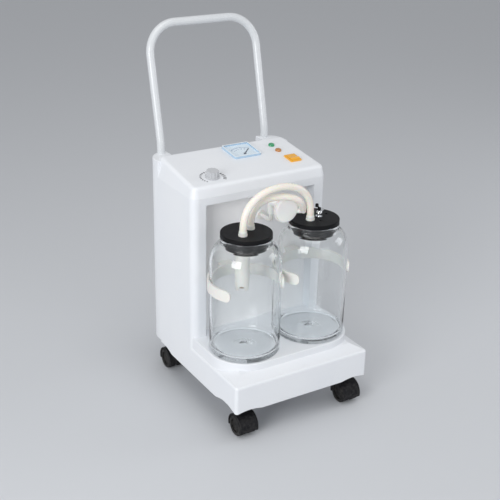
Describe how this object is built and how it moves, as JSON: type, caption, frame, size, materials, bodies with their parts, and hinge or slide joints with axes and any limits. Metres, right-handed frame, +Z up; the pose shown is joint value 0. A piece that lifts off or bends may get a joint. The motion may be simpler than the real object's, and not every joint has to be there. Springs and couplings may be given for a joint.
{
  "type": "vacuum aspirator",
  "caption": "Mobile vacuum aspirator: white cabinet with sloping control panel, two glass jars with black stoppers and hoses in front, push handle behind, casters.",
  "frame": {"origin": "floor under the centre of the bounding box", "axes": "+Z up, +Y from the tray to the handle, +X to the right seen from the front"},
  "size_m": [0.286, 0.3964, 0.6807],
  "materials": {
    "cabinet_white": "satin moulded",
    "bay_grey": "fine texture",
    "handle_white": "gloss",
    "steel": "zinc plated",
    "pump_alloy": "cast",
    "motor_paint": "satin",
    "glass": "clear",
    "black_rubber": "matt",
    "hose_cream": "translucent",
    "white_nylon": "satin",
    "filter_white": "satin",
    "chrome": "polished",
    "black_plastic": "satin",
    "wheel_black": "matt",
    "gauge_blue": "tinted",
    "dial_blue": "printed",
    "window_clear": "clear tinted",
    "needle_black": "matt",
    "lamp_green": "lens",
    "lamp_amber": "lens",
    "switch_orange": "translucent",
    "float_tan": "satin"
  },
  "bodies": {
    "base": {"body_shell": "cabinet_white", "bay_panel": "bay_grey", "rear_cover": "cabinet_white", "top_cover": "cabinet_white", "chassis_plate": "steel", "push_handle": "handle_white", "handle_sockets": "cabinet_white", "handle_screws": "steel", "cover_screws": "steel", "gauge_case": "black_plastic", "gauge_bezel": "gauge_blue", "gauge_dial": "dial_blue", "gauge_window": "window_clear", "power_lamp": "lamp_green", "running_lamp": "lamp_amber", "switch_frame": "switch_orange", "regulator_valve": "pump_alloy", "inlet_elbow": "white_nylon", "jar_clip_left": "white_nylon", "jar_clip_right": "white_nylon", "caster_stems": "steel", "motor_housing": "motor_paint", "crankcases": "pump_alloy", "cylinder_heads": "pump_alloy", "pump_isolators": "black_rubber", "exhaust_silencer": "pump_alloy", "run_capacitor": "pump_alloy", "mains_inlet": "black_plastic", "fuse_holder": "black_plastic"},
    "needle": {"gauge_needle": "needle_black"},
    "rocker": {"power_rocker": "switch_orange"},
    "knob": {"regulator_knob": "cabinet_white", "regulator_spindle": "steel"},
    "left_jar": {"jar_left": "glass"},
    "right_jar": {"jar_right": "glass"},
    "lid_set": {"stopper_left": "black_rubber", "stopper_right": "black_rubber", "hose_nozzles": "white_nylon", "suction_port": "chrome", "float_cage": "white_nylon", "front_hose": "hose_cream", "rear_hose": "hose_cream", "disc_filter": "filter_white", "filter_elbow": "filter_white"},
    "tap": {"port_tap": "black_plastic"},
    "float": {"float_body": "float_tan", "float_seal": "black_rubber"},
    "rotor": {"rotor_shaft": "steel", "cooling_fans": "white_nylon"},
    "fork_front_left": {"caster_fork_front_left": "black_plastic"},
    "wheels_front_left": {"caster_wheels_front_left": "wheel_black"},
    "fork_front_right": {"caster_fork_front_right": "black_plastic"},
    "wheels_front_right": {"caster_wheels_front_right": "wheel_black"},
    "fork_rear_left": {"caster_fork_rear_left": "black_plastic"},
    "wheels_rear_left": {"caster_wheels_rear_left": "wheel_black"},
    "fork_rear_right": {"caster_fork_rear_right": "black_plastic"},
    "wheels_rear_right": {"caster_wheels_rear_right": "wheel_black"}
  },
  "joints": [
    {"name": "needle_turn", "type": "hinge", "parent": "base", "child": "needle", "pos_m": [0.021, 0.05808, 0.44121], "axis": [0, -0.1323, 0.9912], "range_deg": [0, 90]},
    {"name": "rocker_tilt", "type": "hinge", "parent": "base", "child": "rocker", "pos_m": [0.098, 0.011, 0.43342], "axis": [1, 0, 0], "range_deg": [0, 16]},
    {"name": "regulator_turn", "type": "hinge", "parent": "base", "child": "knob", "pos_m": [-0.085, -0.00516, 0.43278], "axis": [0, -0.1323, 0.9912], "range_deg": [0, 300]},
    {"name": "left_jar_lift", "type": "slide", "parent": "base", "child": "left_jar", "axis": [0, 0, 1], "range_m": [0, 0.25]},
    {"name": "right_jar_lift", "type": "slide", "parent": "base", "child": "right_jar", "axis": [0, 0, 1], "range_m": [0, 0.25]},
    {"name": "lid_lift", "type": "slide", "parent": "left_jar", "child": "lid_set", "axis": [0, 0, 1], "range_m": [0, 0.12]},
    {"name": "tap_turn", "type": "hinge", "parent": "lid_set", "child": "tap", "pos_m": [0.08, -0.108, 0.375], "axis": [0, 0, 1], "range_deg": [0, 90]},
    {"name": "float_rise", "type": "slide", "parent": "lid_set", "child": "float", "axis": [0, 0, 1], "range_m": [0, 0.005]},
    {"name": "rotor_spin", "type": "hinge", "parent": "base", "child": "rotor", "pos_m": [0, 0.042, 0.15], "axis": [1, 0, 0], "continuous": true},
    {"name": "swivel_front_left", "type": "hinge", "parent": "base", "child": "fork_front_left", "pos_m": [-0.114, -0.1592, 0.05], "axis": [0, 0, 1], "continuous": true},
    {"name": "roll_front_left", "type": "hinge", "parent": "fork_front_left", "child": "wheels_front_left", "pos_m": [-0.114, -0.1752, 0.02], "axis": [1, 0, 0], "continuous": true},
    {"name": "swivel_front_right", "type": "hinge", "parent": "base", "child": "fork_front_right", "pos_m": [0.114, -0.1592, 0.05], "axis": [0, 0, 1], "continuous": true},
    {"name": "roll_front_right", "type": "hinge", "parent": "fork_front_right", "child": "wheels_front_right", "pos_m": [0.114, -0.1752, 0.02], "axis": [1, 0, 0], "continuous": true},
    {"name": "swivel_rear_left", "type": "hinge", "parent": "base", "child": "fork_rear_left", "pos_m": [-0.114, 0.086, 0.05], "axis": [0, 0, 1], "continuous": true},
    {"name": "roll_rear_left", "type": "hinge", "parent": "fork_rear_left", "child": "wheels_rear_left", "pos_m": [-0.114, 0.102, 0.02], "axis": [1, 0, 0], "continuous": true},
    {"name": "swivel_rear_right", "type": "hinge", "parent": "base", "child": "fork_rear_right", "pos_m": [0.114, 0.086, 0.05], "axis": [0, 0, 1], "continuous": true},
    {"name": "roll_rear_right", "type": "hinge", "parent": "fork_rear_right", "child": "wheels_rear_right", "pos_m": [0.114, 0.102, 0.02], "axis": [1, 0, 0], "continuous": true}
  ],
  "couplings": [
    {"joint": "right_jar_lift", "follows": "left_jar_lift", "ratio": 1}
  ]
}
